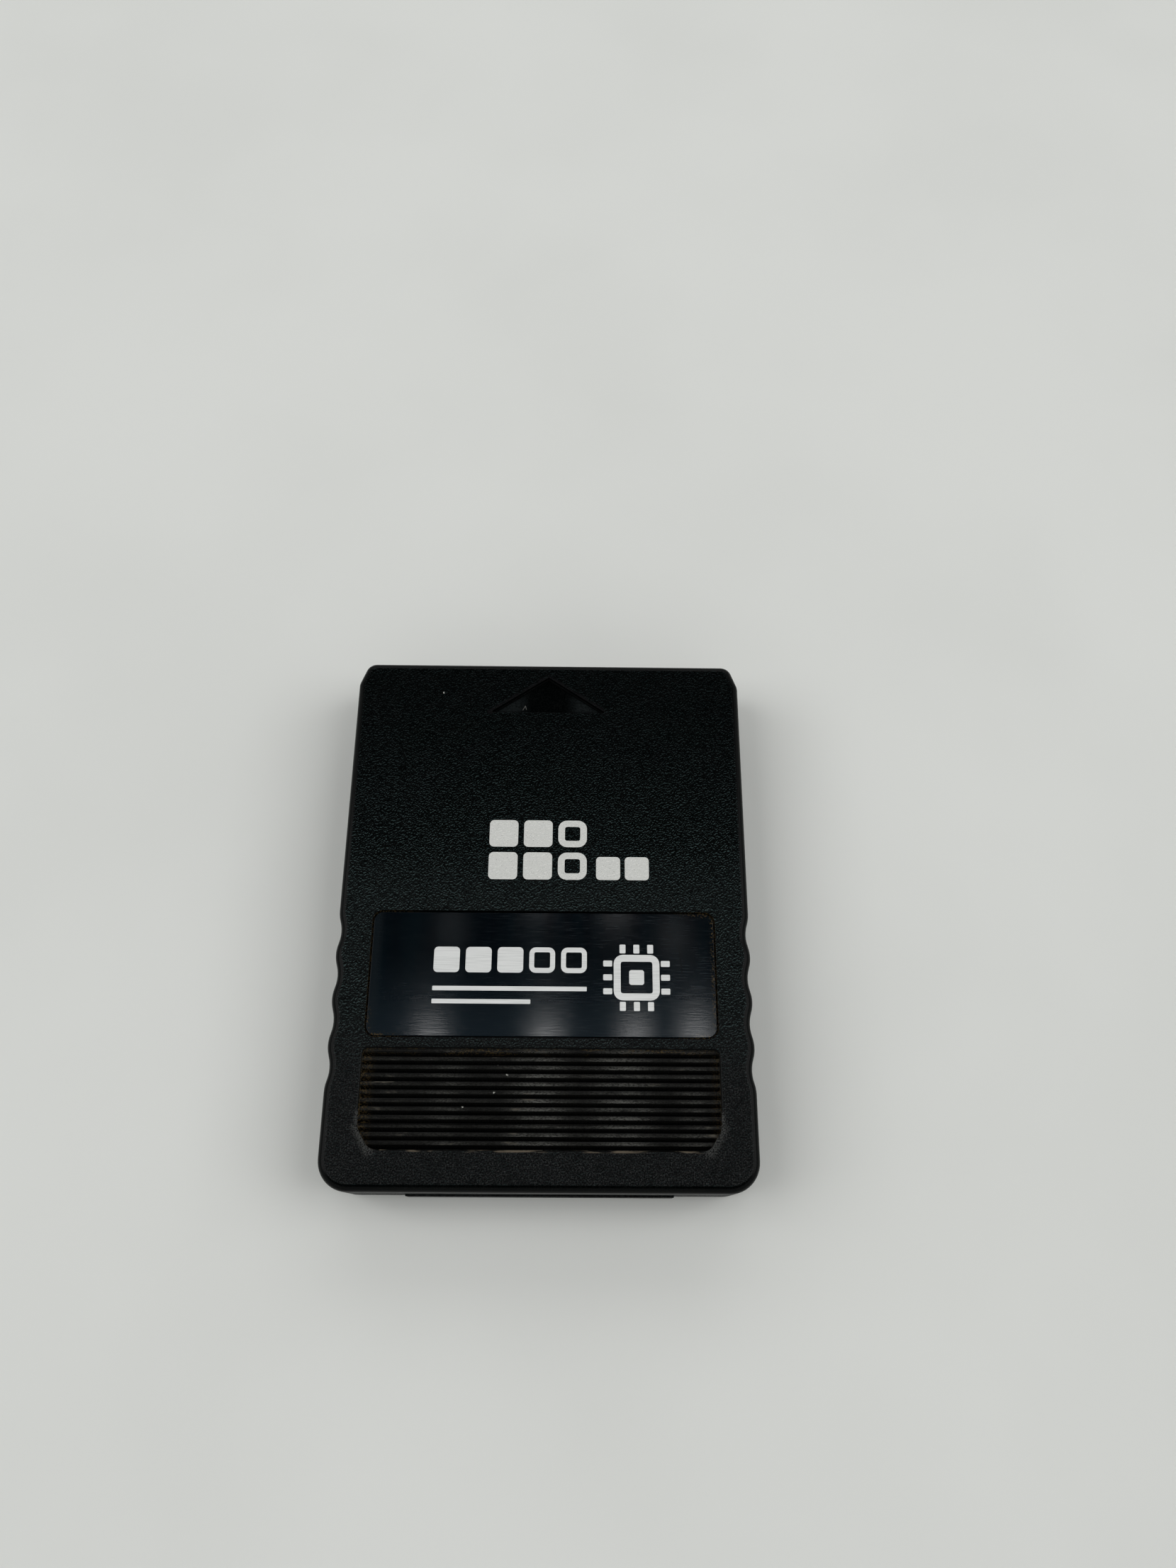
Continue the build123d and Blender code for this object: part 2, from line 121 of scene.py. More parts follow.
def new_effect(name, inputs, outputs):
    """An empty shared effect with named sockets, and its two ends."""
    group = bpy.data.node_groups.new(name, "ShaderNodeTree")
    for socket, kind in inputs.items():
        group.interface.new_socket(socket, in_out="INPUT", socket_type="NodeSocket" + kind)
    for socket, kind in outputs.items():
        group.interface.new_socket(socket, in_out="OUTPUT", socket_type="NodeSocket" + kind)
    return group, group.nodes.new("NodeGroupInput").outputs, group.nodes.new("NodeGroupOutput").inputs


def piece_from(node, name, edge_round):
    """A copy of a solid with its triangles joined into faces and its sharp edges rounded."""
    piece = bpy.data.objects.new(name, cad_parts[node].data.copy())
    bpy.context.collection.objects.link(piece)
    bpy.ops.object.select_all(action="DESELECT")
    piece.select_set(True)
    bpy.context.view_layer.objects.active = piece
    bpy.ops.object.mode_set(mode="EDIT")
    bpy.ops.mesh.select_all(action="SELECT")
    bpy.ops.mesh.remove_doubles(threshold=1e-6)
    bpy.ops.mesh.customdata_custom_splitnormals_clear()
    bpy.ops.mesh.dissolve_limited(angle_limit=math.radians(0.3))
    bpy.ops.object.mode_set(mode="OBJECT")
    rounding = piece.modifiers.new("edge_round", "BEVEL")
    rounding.width = edge_round
    rounding.segments = 2
    rounding.limit_method = "ANGLE"
    rounding.angle_limit = math.radians(32)
    rounding.use_clamp_overlap = False
    bpy.ops.object.modifier_apply(modifier=rounding.name)
    bpy.ops.object.shade_smooth_by_angle(angle=math.radians(50))
    flats = piece.modifiers.new("flat_faces", "WEIGHTED_NORMAL")
    flats.keep_sharp = True
    bpy.ops.object.modifier_apply(modifier=flats.name)
    piece.data.materials.clear()
    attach(piece, "root")
    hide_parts(node)
    return piece


# The grain is etched into the mould: low wavy pebbles, drawn out across the card, four or five to the
# millimetre. Their far slopes, found from a second look a small step away, are painted paler as a painted
# highlight.
grain_fineness = 8.5
grain_step = 0.14
grain_turn = 0.3
grain_stretch = (1.7, 1.0, 1.0)
grain_and_lit_slopes, ends, result = new_effect(
    "grain_and_lit_slopes", {"Place": "Vector", "Fineness": "Float"}, {"Height": "Float", "LitSlopes": "Float"}
)
waver = finish_node(grain_and_lit_slopes, "TexNoise", {"Vector": ends["Place"], "Scale": 1.1, "Detail": 1.0})
waver = finish_node(
    grain_and_lit_slopes, "VectorMath", {0: waver.outputs["Color"], "Scale": 0.3}, operation="SCALE"
).outputs[0]
waver = finish_node(grain_and_lit_slopes, "VectorMath", {0: ends["Place"], 1: waver}, operation="ADD").outputs[0]
pebbles = []
for step in (0.0, grain_step):
    inputs = {0: waver, 1: (0.0, step, 0.0)}
    spot = finish_node(grain_and_lit_slopes, "VectorMath", inputs, operation="ADD").outputs[0]
    inputs = {"Vector": spot, "Rotation": (0, 0, grain_turn), "Scale": grain_stretch}
    spot = finish_node(grain_and_lit_slopes, "Mapping", inputs, vector_type="TEXTURE").outputs[0]
    inputs = {"Vector": spot, "Scale": ends["Fineness"], "Detail": 1.0, "Distortion": 0.3}
    pebbles.append(finish_node(grain_and_lit_slopes, "TexNoise", inputs).outputs[0])
grain_and_lit_slopes.links.new(fade(grain_and_lit_slopes, pebbles[0], 0.25, 0.75), result["Height"])
# Painted highlight: slopes that face the far end come out pale.
slope = maths(grain_and_lit_slopes, "SUBTRACT", pebbles[0], pebbles[1])
grain_and_lit_slopes.links.new(fade(grain_and_lit_slopes, slope, 0.05, 0.28), result["LitSlopes"])

# Dust settles in fine pale specks, thicker in some drifts than in others.
settled_dust, ends, result = new_effect(
    "settled_dust", {"Place": "Vector", "Fineness": "Float", "Amount": "Float"}, {"Dust": "Float"}
)
specks = clouds(settled_dust, ends["Place"], ends["Fineness"], 3.0)
drifts = clouds(settled_dust, ends["Place"], 0.45, 2.0)
dust = product(
    settled_dust,
    fade(settled_dust, specks, 0.42, 0.72),
    fade(settled_dust, drifts, 0.0, 0.7),
    ends["Amount"],
)
settled_dust.links.new(dust, result["Dust"])

plastic_specular = 0.06
tray_plastic, tree, shader, place, axes = new_finish("tray_plastic")
grain = put(grain_and_lit_slopes, tree, Place=place, Fineness=grain_fineness)
dust = put(settled_dust, tree, Place=place, Fineness=5.0, Amount=0.35)["Dust"]
# Painted highlight: the grain's far-facing slopes are painted paler.
colour = tint(tree, grain["LitSlopes"], (0.0004, 0.0009, 0.0009), (0.009, 0.013, 0.013))
tree.links.new(tint(tree, dust, colour, (0.03, 0.03, 0.028)), shader.inputs["Base Color"])
tree.links.new(fade(tree, grain["Height"], -1.4, 2.6), shader.inputs["Roughness"])
bump = finish_node(tree, "Bump", {"Height": grain["Height"], "Strength": 1.0, "Distance": 0.000016})
tree.links.new(bump.outputs[0], shader.inputs["Normal"])
shader.inputs["Specular IOR Level"].default_value = plastic_specular

tray = piece_from("lower_shell", "lower_tray", edge_round=0.00004)
tray.data.materials.append(tray_plastic)

# Circuit board: glass laminate under green solder mask, standing on the tray's pads.
# Copper shows through as paler tracks, and the sawn edges show the bare laminate.
board_mask, tree, shader, place, axes = new_finish("board_mask")
tracks = finish_node(
    tree, "TexVoronoi", {"Vector": place, "Scale": 0.55}, feature="DISTANCE_TO_EDGE", distance="CHEBYCHEV"
).outputs["Distance"]
tracks = fade(tree, tracks, 0.16, 0.12)
weave = clouds(tree, place, 3.0, 3.0)
low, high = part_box("circuit_board")
green = tint(tree, fade(tree, weave, 0.3, 0.7), (0.006, 0.075, 0.028), (0.01, 0.1, 0.038))
green = tint(tree, product(tree, tracks, 0.8), green, (0.02, 0.17, 0.06))
middle = 500 * (low.z + high.z)
thickness = 1000 * (high.z - low.z)
height = maths(tree, "ABSOLUTE", maths(tree, "SUBTRACT", axes["Z"], middle))
core = fade(tree, height, 0.35 * thickness, 0.3 * thickness)
tree.links.new(tint(tree, core, green, (0.32, 0.29, 0.14)), shader.inputs["Base Color"])
tree.links.new(fade(tree, weave, -0.6, 2.0), shader.inputs["Roughness"])
bump = finish_node(tree, "Bump", {"Height": tracks, "Strength": 0.5, "Distance": 0.00003})
tree.links.new(bump.outputs[0], shader.inputs["Normal"])
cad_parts["circuit_board"].data.materials[0] = board_mask

# Memory and controller chips: black moulded epoxy, dull, with a fine matte grain.
# A pale ink dot marks the first lead of each.
chip_epoxy, tree, shader, place, axes = new_finish("chip_epoxy")
filler = clouds(tree, place, 14.0, 3.0)
colour = tint(tree, fade(tree, filler, 0.35, 0.7), (0.011, 0.011, 0.012), (0.026, 0.026, 0.027))
dot_inset = 1.3
for chip in ("memory_chip", "controller_chip"):
    low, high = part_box(chip)
    dot = (1000 * low.x + dot_inset, 1000 * high.y - dot_inset, 1000 * high.z)
    reach = finish_node(tree, "VectorMath", {0: place, 1: dot}, operation="DISTANCE").outputs["Value"]
    colour = tint(tree, fade(tree, reach, 0.45, 0.38), colour, (0.3, 0.3, 0.28))
    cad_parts[chip].data.materials[0] = chip_epoxy
tree.links.new(colour, shader.inputs["Base Color"])
tree.links.new(fade(tree, filler, -1.2, 1.2), shader.inputs["Roughness"])
bump = finish_node(tree, "Bump", {"Height": filler, "Strength": 0.4, "Distance": 0.00001})
tree.links.new(bump.outputs[0], shader.inputs["Normal"])

# Chip leads: copper alloy strip with a dull tin coat.
# They are stamped with the chip's frame, bent down to the board and soldered.
tinned_strip, tree, shader, place, axes = new_finish("tinned_strip")
frost = clouds(tree, place, 6.0, 4.0)
silver = tint(tree, fade(tree, frost, 0.3, 0.7), (0.42, 0.42, 0.4), (0.62, 0.62, 0.6))
tree.links.new(silver, shader.inputs["Base Color"])
tree.links.new(fade(tree, frost, -0.4, 1.4), shader.inputs["Roughness"])
shader.inputs["Metallic"].default_value = 1.0
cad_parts["memory_chip_leads"].data.materials[0] = tinned_strip
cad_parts["controller_chip_leads"].data.materials[0] = tinned_strip

# Crystal: a ceramic base with a bright rolled metal lid seam-welded on it.
# It is soldered flat on the board beside the controller.
crystal_can, tree, shader, place, axes = new_finish("crystal_can")
low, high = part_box("crystal")
middle = 500 * (low.z + high.z)
cover = fade(tree, axes["Z"], middle - 0.02, middle + 0.02)
rolled = clouds(tree, place, 1.0, 3.0, stretch=(22, 0.6, 22))
steel = tint(tree, fade(tree, rolled, 0.3, 0.7), (0.5, 0.49, 0.46), (0.66, 0.65, 0.62))
tree.links.new(tint(tree, cover, (0.045, 0.035, 0.03), steel), shader.inputs["Base Color"])
tree.links.new(cover, shader.inputs["Metallic"])
tree.links.new(fade(tree, rolled, -0.3, 1.8), shader.inputs["Roughness"])
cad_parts["crystal"].data.materials[0] = crystal_can

# Capacitors and resistors: fired ceramic blocks with tinned ends.
# The capacitors are tan all through, and the resistors have a black glaze on top.
end_length = 0.4
for finish_name, kind, count, body_colour in (
    ("capacitor_ceramic", "capacitor", 4, (0.28, 0.17, 0.085)),
    ("resistor_glaze", "resistor", 5, (0.02, 0.02, 0.022)),
):
    ceramic, tree, shader, place, axes = new_finish(finish_name)
    speckle = clouds(tree, place, 9.0, 3.0)
    tinned = 1.0
    for number in range(1, count + 1):
        low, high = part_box(f"{kind}_{number}")
        half = 500 * (high.y - low.y)
        reach = maths(tree, "ABSOLUTE", maths(tree, "SUBTRACT", axes["Y"], 500 * (low.y + high.y)))
        tin = fade(tree, reach, half - end_length - 0.02, half - end_length + 0.02)
        tinned = product(tree, tinned, tin)
        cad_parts[f"{kind}_{number}"].data.materials[0] = ceramic
    paler = tuple(1.5 * part for part in body_colour)
    body = tint(tree, fade(tree, speckle, 0.35, 0.7), body_colour, paler)
    tree.links.new(tint(tree, tinned, body, (0.55, 0.55, 0.53)), shader.inputs["Base Color"])
    tree.links.new(tinned, shader.inputs["Metallic"])
    tree.links.new(fade(tree, speckle, -0.6, 1.5), shader.inputs["Roughness"])

# Contact block: the dark moulded carrier that closes the socket and divides it into three bays.
# It is glass-filled and smooth, and drops between the shells with the contacts pressed in.
carrier_plastic, tree, shader, place, axes = new_finish("carrier_plastic")
fibres = clouds(tree, place, 1.5, 4.0, stretch=(3.0, 9.0, 9.0))
dust = put(settled_dust, tree, Place=place, Fineness=4.0, Amount=0.5)["Dust"]
colour = tint(tree, fade(tree, fibres, 0.3, 0.75), (0.008, 0.008, 0.009), (0.016, 0.016, 0.017))
tree.links.new(tint(tree, dust, colour, (0.07, 0.066, 0.058)), shader.inputs["Base Color"])
tree.links.new(fade(tree, fibres, -0.9, 1.8), shader.inputs["Roughness"])
bump = finish_node(tree, "Bump", {"Height": fibres, "Strength": 0.3, "Distance": 0.00002})
tree.links.new(bump.outputs[0], shader.inputs["Normal"])

carrier = piece_from("contact_block", "contact_carrier", edge_round=0.00005)
carrier.data.materials.append(carrier_plastic)

# Contacts: eight stamped strips with a thin gold plate, in grooves of the block's shelf.
# Each blade is scored along its length where the console's springs slide on it.
gold_plate, tree, shader, place, axes = new_finish("gold_plate")
slide_marks = clouds(tree, place, 1.0, 4.0, stretch=(9.0, 0.25, 9.0))
tarnish = clouds(tree, place, 0.8, 3.0)
gold = tint(tree, fade(tree, tarnish, 0.4, 0.75), (0.78, 0.5, 0.17), (0.5, 0.3, 0.11))
gold = tint(tree, fade(tree, slide_marks, 0.62, 0.75), gold, (0.86, 0.68, 0.4))
tree.links.new(gold, shader.inputs["Base Color"])
tree.links.new(fade(tree, slide_marks, -0.9, 2.4), shader.inputs["Roughness"])
bump = finish_node(tree, "Bump", {"Height": slide_marks, "Strength": 0.15, "Distance": 0.00001})
tree.links.new(bump.outputs[0], shader.inputs["Normal"])
shader.inputs["Metallic"].default_value = 1.0
for number in range(1, 9):
    blade = piece_from(f"contact_{number}", f"contact_blade_{number}", edge_round=0.00003)
    blade.data.materials.append(gold_plate)

# Upper shell: the lid, moulded in the same plastic, with sunk arrow, label seat and ribbed thumb panel.
# It snaps into the tray. Arrow, ribs and rounded edges are polished, and dirt has settled in the recesses.


def between(tree, value, low, high, soft):
    """1 where the value is between two limits, and 0 outside them."""
    above = fade(tree, value, low - soft, low + soft)
    return product(tree, above, fade(tree, value, high + soft, high - soft))


def off_line(tree, place, start, end):
    """How far a place is from the straight line between two points, in millimetres."""
    along = tuple(b - a for a, b in zip(start, end))
    inputs = {0: place, 1: start}
    arm = finish_node(tree, "VectorMath", inputs, operation="SUBTRACT").outputs[0]
    inputs = {0: arm, 1: along}
    share = finish_node(tree, "VectorMath", inputs, operation="DOT_PRODUCT").outputs["Value"]
    inputs = {0: share, 1: math.dist(start, end) ** 2}
    share = finish_node(tree, "Math", inputs, operation="DIVIDE", use_clamp=True).outputs[0]
    foot = finish_node(tree, "VectorMath", {0: along, "Scale": share}, operation="SCALE").outputs[0]
    return finish_node(tree, "VectorMath", {0: arm, 1: foot}, operation="DISTANCE").outputs["Value"]


lid_plastic, tree, shader, place, axes = new_finish("lid_plastic")
top = 8.0
x_off = maths(tree, "ABSOLUTE", axes["X"])
flat_top = fade(tree, axes["Z"], top - 0.03, top - 0.005)
side_wall = fade(tree, axes["Z"], top - 0.7, top - 1.1)
grain = put(grain_and_lit_slopes, tree, Place=place, Fineness=grain_fineness)
grit = clouds(tree, place, 7.0, 2.0)

# The near end of the lid is painted greyer, with a speckled pale haze over it: a painted sheen.
smears = clouds(tree, place, 1.3, 3.0)
near_end = product(tree, fade(tree, axes["Y"], -9.0, -19.0), flat_top)
near_sheen = product(tree, fade(tree, grit, 0.42, 0.78), fade(tree, smears, 0.1, 0.65), near_end)
stray = put(settled_dust, tree, Place=place, Fineness=9.0, Amount=0.08)["Dust"]

# Ribs: skin dust lies in grains on their flat tops. The same pale tint is also painted sheen: it is
# lighter towards each rib's near edge and in upright columns across the panel, painted reflections, and
# one wall of each groove gets a faint painted highlight.
panel_half = 17.7
panel_near = -24.1
panel_far = -14.25
first_rib = -23.87
rib_pitch = 0.785
rib_top = 7.7
in_panel = product(
    tree,
    fade(tree, x_off, panel_half + 0.05, panel_half - 0.05),
    between(tree, axes["Y"], panel_near, panel_far, 0.05),
    fade(tree, axes["Z"], top - 0.1, top - 0.16),
)
rib_tops = product(tree, in_panel, fade(tree, axes["Z"], rib_top - 0.05, rib_top - 0.008))
rib_step = maths(tree, "DIVIDE", maths(tree, "SUBTRACT", axes["Y"], first_rib), rib_pitch)
rib_step = maths(tree, "FRACT", rib_step)
# Painted sheen: the rib tops are made lighter towards their near edges.
near_edge_sheen = maths(tree, "ADD", product(tree, fade(tree, rib_step, 1.0, 0.66), 0.7), 0.5)
# Painted highlight along one wall of each groove.
lit_groove_walls = product(tree, fade(tree, rib_step, 0.26, 0.36), in_panel)
streaked = clouds(tree, place, 1.0, 4.0, stretch=(0.35, 1.6, 1.0))
grains = clouds(tree, place, 1.0, 3.0, stretch=(4.5, 12.0, 1.0))
# Painted reflections: pale upright columns across the rib tops, at these places across the panel.
sheen_columns = 0.21
for column_x, reach, share in ((-9.3, 3.0, 0.3), (-0.1, 4.0, 1.0), (8.0, 4.0, 1.05), (14.8, 2.5, 0.3)):
    across = maths(tree, "ABSOLUTE", maths(tree, "SUBTRACT", axes["X"], column_x))
    sheen_columns = maths(tree, "ADD", sheen_columns, product(tree, fade(tree, across, reach, 0.0), share))
rib_dust_and_sheen = product(
    tree,
    rib_tops,
    fade(tree, streaked, 0.1, 0.75),
    fade(tree, grains, 0.2, 0.75),
    near_edge_sheen,
    sheen_columns,
)
rib_streaks = product(tree, rib_tops, fade(tree, streaked, 0.63, 0.75))

# Brown dirt has gathered in the first groove, at both ends of the ribs and at the ends of the label seat.
seat_half = 17.55
seat_near = -13.45
seat_far = -0.45
crumbs = fade(tree, clouds(tree, place, 5.5, 4.0), 0.46, 0.62)
first_groove = product(tree, fade(tree, axes["Y"], -15.2, -14.5), fade(tree, streaked, 0.42, 0.62))
left_ends = product(tree, fade(tree, axes["X"], -15.9, -17.4), 0.7)
right_ends = product(tree, fade(tree, axes["X"], 16.3, 17.3), 0.3)
panel_dirt = maths(tree, "MAXIMUM", first_groove, maths(tree, "MAXIMUM", left_ends, right_ends))
panel_dirt = product(tree, panel_dirt, in_panel, crumbs)
seat_dirt = product(
    tree,
    fade(tree, x_off, seat_half + 0.05, seat_half - 0.05),
    between(tree, axes["Y"], seat_near, seat_far, 0.05),
    fade(tree, axes["Z"], top - 0.02, top - 0.1),
    fade(tree, x_off, 12.0, 16.5),
    crumbs,
)
dirt = maths(tree, "MAXIMUM", panel_dirt, seat_dirt)

# The near corners of the panel's rim are paler grey, and pale streaks lie along its near side: partly
# dust, partly a painted highlight on the rim's edge.
pale_corners = 0.0
for side in (-1, 1):
    corner = (side * 17.4, -21.9, top)
    reach = off_line(tree, place, (side * 17.45, -20.6, top), corner)
    pale_corners = maths(tree, "MAXIMUM", pale_corners, fade(tree, reach, 0.5, 0.05))
    reach = off_line(tree, place, corner, (side * 16.2, -23.9, top))
    pale_corners = maths(tree, "MAXIMUM", pale_corners, fade(tree, reach, 0.9, 0.1))
pale_corners = product(tree, pale_corners, fade(tree, axes["Z"], top - 0.2, top - 0.1), fade(tree, grit, 0.3, 0.7))
rim_y = -23.97
rim_z = 7.93
rim_dust_and_sheen = fade(tree, off_line(tree, place, (-15.0, rim_y, rim_z), (15.5, rim_y, rim_z)), 0.2, 0.08)
rim_dust_and_sheen = product(tree, rim_dust_and_sheen, fade(tree, streaked, 0.44, 0.6))

# The arrow's rim is smooth, with a faint painted highlight along its slanted sides. Its polished floor is
# painted lighter at both ends as a painted sheen, except on a strip at the foot of the slanted walls that
# is left dark as a painted shadow. The floor holds a short bent hair.
arrow_half = 6.35
arrow_base = 21.9
arrow_tip = 26.2
arrow_bed = 7.5
arrow_floor = product(
    tree,
    between(tree, axes["Z"], arrow_bed - 0.075, arrow_bed + 0.075, 0.025),
    fade(tree, axes["Y"], arrow_tip + 0.2, arrow_tip + 0.1),
    fade(tree, x_off, arrow_half + 0.25, arrow_half + 0.05),
)
# Painted sheen on the floor's ends, kept off the foot of the slanted walls, which stays dark as painted
# shadow.
arrow_sheen = product(
    tree,
    arrow_floor,
    fade(tree, axes["Y"], arrow_base + 0.1, arrow_base + 0.45),
    fade(tree, x_off, 1.7, 3.9),
    fade(tree, grit, 0.1, 0.7),
)
# Painted highlight: a faint pale line along the rim of the slanted sides.
arrow_rim_highlight = 0.0
for side in (-1, 1):
    reach = off_line(tree, place, (side * arrow_half, arrow_base, arrow_bed), (0.0, arrow_tip, arrow_bed))
    arrow_sheen = product(tree, arrow_sheen, fade(tree, reach, 0.12, 0.3))
    reach = off_line(tree, place, (side * arrow_half, arrow_base, top), (0.0, arrow_tip, top))
    arrow_rim_highlight = maths(tree, "MAXIMUM", arrow_rim_highlight, fade(tree, reach, 0.45, 0.1))
arrow_rim_highlight = product(tree, arrow_rim_highlight, flat_top, fade(tree, smears, 0.1, 0.7))
hair_bend = (-2.53, 22.9, arrow_bed)
hair = off_line(tree, place, (-2.79, 22.4, arrow_bed), hair_bend)
hair = maths(tree, "MINIMUM", hair, off_line(tree, place, hair_bend, (-2.41, 22.49, arrow_bed)))
hair = fade(tree, hair, 0.055, 0.02)

# A few crumbs of white lint stick to the ribs, and one to the far end.
lint = 0.0
for spot in (
    (-3.3, -16.9, rib_top),
    (-7.5, -19.9, rib_top),
    (-4.5, -18.6, rib_top),
    (-4.2, -15.9, rib_top),
    (-11.55, 24.2, top),
):
    reach = finish_node(tree, "VectorMath", {0: place, 1: spot}, operation="DISTANCE").outputs["Value"]
    reach = maths(tree, "ADD", reach, product(tree, grit, 0.3))
    lint = maths(tree, "MAXIMUM", lint, fade(tree, reach, 0.28, 0.16))

# The grain's far slopes are painted paler towards the near end as painted highlights, and a faint painted
# sheen lies on the whole grain there as well.
slope_light_share = maths(tree, "ADD", product(tree, fade(tree, axes["Y"], 27.0, 0.0), 0.75), 0.25)
slope_light_share = maths(tree, "MAXIMUM", product(tree, slope_light_share, flat_top), product(tree, side_wall, 0.3))
lit_slopes = product(tree, grain["LitSlopes"], slope_light_share)
grain_sheen = product(tree, grain["Height"], 0.2, flat_top, fade(tree, axes["Y"], 7.0, 0.5))
colour = tint(tree, lit_slopes, (0.0001, 0.0005, 0.0005), (0.031, 0.048, 0.048))
for mask, layer in (
    (grain_sheen, (0.03, 0.038, 0.038)),
    (in_panel, (0.0005, 0.0006, 0.0006)),
    (product(tree, lit_groove_walls, grit), (0.0055, 0.0055, 0.005)),
    (product(tree, near_end, 0.75), (0.0014, 0.0017, 0.0018)),
    (near_sheen, (0.029, 0.0296, 0.0296)),
    (stray, (0.04, 0.041, 0.039)),
    (rib_dust_and_sheen, (0.084, 0.084, 0.077)),
    (rib_streaks, (0.066, 0.06, 0.049)),
    (pale_corners, (0.05, 0.051, 0.049)),
    (arrow_sheen, (0.011, 0.0135, 0.014)),
    (arrow_rim_highlight, (0.0048, 0.0045, 0.005)),
    (hair, (0.08, 0.08, 0.075)),
    (dirt, (0.062, 0.043, 0.018)),
    (rim_dust_and_sheen, (0.1, 0.082, 0.06)),
    (lint, (0.4, 0.4, 0.37)),
):
    colour = tint(tree, mask, colour, layer)
tree.links.new(colour, shader.inputs["Base Color"])
matte = 0.2
for mask, share in ((near_end, 0.05), (rib_dust_and_sheen, 0.25), (side_wall, 0.25)):
    matte = maths(tree, "ADD", matte, product(tree, mask, share))
tree.links.new(matte, shader.inputs["Roughness"])
relief = product(tree, grain["Height"], maths(tree, "MAXIMUM", flat_top, side_wall))
bump = finish_node(tree, "Bump", {"Height": relief, "Strength": 1.0, "Distance": 0.00001})
tree.links.new(bump.outputs[0], shader.inputs["Normal"])
shader.inputs["Specular IOR Level"].default_value = plastic_specular

lid = piece_from("upper_shell", "upper_lid", edge_round=0.00007)
lid.data.materials.append(lid_plastic)

# Front label: a stiff glossy film, deep navy, glued into its seat in the lid.
# Wiping has brushed it with fine lines across, so lamps smear into soft upright streaks.
# Its near half is painted paler as a painted sheen, and grime sits along its edges at both ends.
label_gloss, tree, shader, place, axes = new_finish("label_gloss")
brushed = clouds(tree, place, 1.0, 5.0, stretch=(0.6, 8.0, 1.0))
bands = clouds(tree, place, 1.0, 2.0, stretch=(0.5, 0.05, 1.0))
low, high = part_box("front_label")
x_edge = maths(tree, "SUBTRACT", 1000 * high.x, maths(tree, "ABSOLUTE", axes["X"]))
y_edge = maths(tree, "ABSOLUTE", maths(tree, "SUBTRACT", axes["Y"], 500 * (low.y + high.y)))
y_edge = maths(tree, "SUBTRACT", 500 * (high.y - low.y), y_edge)
edge = maths(tree, "MINIMUM", x_edge, y_edge)
grimy = product(tree, fade(tree, axes["X"], -13.0, -17.0), fade(tree, axes["Y"], -9.5, -12.0))
grimy = maths(tree, "MAXIMUM", grimy, fade(tree, axes["X"], 13.0, 17.0))
crumbs = fade(tree, clouds(tree, place, 5.0, 4.0), 0.5, 0.66)
grime = product(tree, grimy, fade(tree, edge, 0.55, 0.05), crumbs)
dust = put(settled_dust, tree, Place=place, Fineness=12.0, Amount=0.014)["Dust"]
film_z = 7.85
scratch = off_line(tree, place, (13.74, -4.15, film_z), (13.96, -6.77, film_z))
wiped = maths(tree, "ADD", product(tree, fade(tree, axes["X"], -12.0, 12.0), 0.7), 0.3)
wiped = product(tree, fade(tree, brushed, 0.48, 0.78), wiped)
colour = tint(tree, fade(tree, bands, 0.35, 0.68), (0.0001, 0.001, 0.0022), (0.0006, 0.0028, 0.0044))
for mask, layer in (
    # Painted sheen: the film is painted paler towards its near edge.
    (fade(tree, axes["Y"], -4.0, -14.5), (0.0062, 0.0108, 0.0148)),
    (product(tree, fade(tree, axes["X"], -15.9, -16.9), 0.5), (0.009, 0.0125, 0.015)),
    (product(tree, wiped, 0.45), (0.018, 0.024, 0.0275)),
    (dust, (0.12, 0.12, 0.11)),
    (fade(tree, scratch, 0.08, 0.03), (0.0003, 0.0006, 0.0008)),
    (grime, (0.056, 0.039, 0.017)),
):
    colour = tint(tree, mask, colour, layer)
tree.links.new(colour, shader.inputs["Base Color"])
tree.links.new(fade(tree, brushed, -1.15, 7.6), shader.inputs["Roughness"])
bump = finish_node(tree, "Bump", {"Height": brushed, "Strength": 0.2, "Distance": 0.00001})
tree.links.new(bump.outputs[0], shader.inputs["Normal"])
shader.inputs["Specular IOR Level"].default_value = 0.25
shader.inputs["Anisotropic"].default_value = 0.7
across = finish_node(tree, "Tangent", direction_type="UV_MAP", uv_map="across_film")
tree.links.new(across.outputs[0], shader.inputs["Tangent"])

film = piece_from("front_label", "label_film", edge_round=0.00005)
across_film = film.data.uv_layers.new(name="across_film")
uv_scale = 20
for loop in film.data.loops:
    spot = film.data.vertices[loop.vertex_index].co
    across_film.data[loop.index].uv = (uv_scale * spot.y, -uv_scale * spot.x)
film.data.materials.append(label_gloss)

# Block print on the lid: a plain pattern of memory blocks screened in white ink.
# The ink follows the grain, so it is speckled where the pits stayed bare.
ink_thickness = 0.00001


def ink_block(x, y, z, width, height, line=0.0):
    """One printed block with rounded corners, filled, or open with a line of that width."""
    corner = max(0.16 * min(width, height), 1.3 * line)
    bpy.ops.object.select_all(action="DESELECT")
    bpy.ops.mesh.primitive_plane_add(size=1, location=(x, y, z))
    block = bpy.context.object
    bpy.ops.object.mode_set(mode="EDIT")
    bpy.ops.transform.resize(value=(width, height, 1))
    bpy.ops.mesh.bevel(offset=corner, segments=5, affect="VERTICES")
    if line:
        bpy.ops.mesh.inset(thickness=line)
        bpy.ops.mesh.delete(type="FACE")
        bpy.ops.mesh.select_all(action="SELECT")
    bpy.ops.mesh.extrude_region_move(TRANSFORM_OT_translate={"value": (0, 0, ink_thickness)})
    bpy.ops.mesh.select_all(action="SELECT")
    bpy.ops.mesh.normals_make_consistent(inside=False)
    bpy.ops.object.mode_set(mode="OBJECT")
    bpy.ops.object.transform_apply(location=True, rotation=True, scale=True)
    return block


